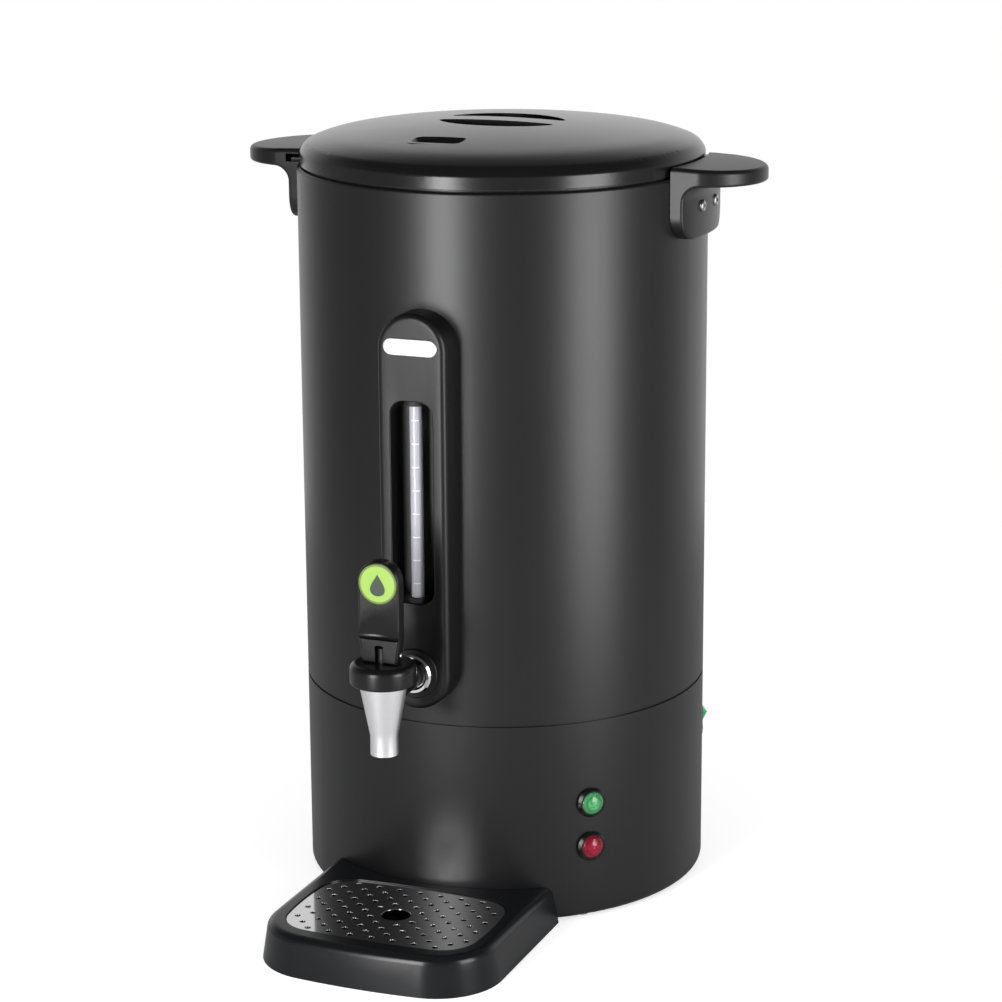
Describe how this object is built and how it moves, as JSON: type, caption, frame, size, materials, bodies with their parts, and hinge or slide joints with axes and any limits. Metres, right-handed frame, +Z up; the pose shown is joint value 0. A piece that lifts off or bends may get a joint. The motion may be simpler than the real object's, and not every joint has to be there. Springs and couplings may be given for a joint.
{
  "type": "hot water urn",
  "caption": "Cylindrical double-walled electric hot water urn with lift-off lid, side handles, sight-glass column, lever tap, lamps, rocker switch and drip tray.",
  "frame": {"origin": "on the body's axis at counter level", "axes": "+Z up along the body's axis, -Y towards the tap, +X towards the handle on the right of the tap"},
  "size_m": [0.3536, 0.3945, 0.5005],
  "materials": {
    "body_paint": "matte black powder coat",
    "stainless": "polished sheet",
    "plated_sheet": "zinc-plated",
    "fasteners": "bright",
    "foot_rubber": "matte",
    "cast_aluminium": "as cast",
    "phenolic": "moulded",
    "terminal_white": "moulded",
    "black_plastic": "satin moulded",
    "tap_plastic": "satin-gloss moulded",
    "tray_plastic": "gloss moulded",
    "green_lens": "clear tinted",
    "red_lens": "clear tinted",
    "switch_green": "translucent tinted",
    "plate_metal": "bare satin",
    "gauge_glass": "clear tube",
    "silicone": "food-grade silicone",
    "chrome": "polished",
    "spout_metal": "satin silver",
    "tap_steel": "bright",
    "badge": "printed disc"
  },
  "bodies": {
    "urn": {"base_shell": "body_paint", "outer_shell": "body_paint", "inner_vessel": "stainless", "base_plate": "plated_sheet", "base_screws": "fasteners", "rubber_feet": "foot_rubber", "foot_screws": "fasteners", "heat_spreader": "cast_aluminium", "heating_element": "cast_aluminium", "thermostat": "phenolic", "thermal_cutout": "phenolic", "tie_rod": "fasteners", "tie_nut": "fasteners", "terminal_block": "terminal_white", "lamp_bezels": "black_plastic", "lamp_nuts": "black_plastic", "green_lamp": "green_lens", "red_lamp": "red_lens", "switch_housing": "black_plastic", "cord_gland": "black_plastic", "gland_nut": "black_plastic", "handle_right": "black_plastic", "handle_left": "black_plastic", "handle_screws": "fasteners", "handle_nuts": "fasteners", "gauge_column": "black_plastic", "column_screw": "fasteners", "front_plate": "plate_metal", "gauge_glass": "gauge_glass", "gauge_bottom_seal": "silicone", "gauge_top_seal": "silicone", "gauge_tee": "black_plastic", "tap_shank": "chrome", "inner_gasket": "silicone", "shank_nut": "tap_steel", "outer_gasket": "silicone", "shank_sleeve": "tap_steel", "spout": "spout_metal", "tap_body": "tap_plastic", "tap_bonnet": "tap_plastic", "tap_spring": "tap_steel"},
    "valve": {"valve_stem": "tap_steel", "seat_cup": "silicone", "lever_pin": "tap_steel"},
    "lever": {"tap_lever": "tap_plastic", "lever_badge": "badge"},
    "seal": {"lid_seal": "silicone"},
    "lid": {"lid_cover": "black_plastic", "lid_lugs": "black_plastic", "lid_liner": "stainless", "lid_screws": "fasteners"},
    "rocker": {"switch_rocker": "switch_green"},
    "tray": {"drip_tray": "tray_plastic"},
    "grate": {"drip_grate": "stainless"}
  },
  "joints": [
    {"name": "lid_lift", "type": "slide", "parent": "urn", "child": "seal", "axis": [0, 0, 1], "range_m": [0, 0.18]},
    {"name": "lid_turn", "type": "hinge", "parent": "seal", "child": "lid", "pos_m": [0, 0, 0.4755], "axis": [0, 0, 1], "range_deg": [-15, 0]},
    {"name": "stem_lift", "type": "slide", "parent": "urn", "child": "valve", "axis": [0, 0, 1], "range_m": [0, 0.003], "deforming": ["tap_spring"]},
    {"name": "lever_tilt", "type": "hinge", "parent": "valve", "child": "lever", "pos_m": [0, -0.199, 0.1995], "axis": [1, 0, 0], "range_deg": [0, 30], "stiffness_Nm_per_rad": 0.05},
    {"name": "switch_rock", "type": "hinge", "parent": "urn", "child": "rocker", "pos_m": [0.11302, 0.06525, 0.089], "axis": [-0.5, 0.866, 0], "range_deg": [-24, 0]},
    {"name": "tray_slide", "type": "slide", "parent": "urn", "child": "tray", "axis": [0, -1, 0], "range_m": [0, 0.1]},
    {"name": "grate_lift", "type": "slide", "parent": "tray", "child": "grate", "axis": [0, 0, 1], "range_m": [0, 0.05]}
  ],
  "couplings": [
    {"joint": "stem_lift", "follows": "lever_tilt", "m_per_rad": 0.0052}
  ]
}
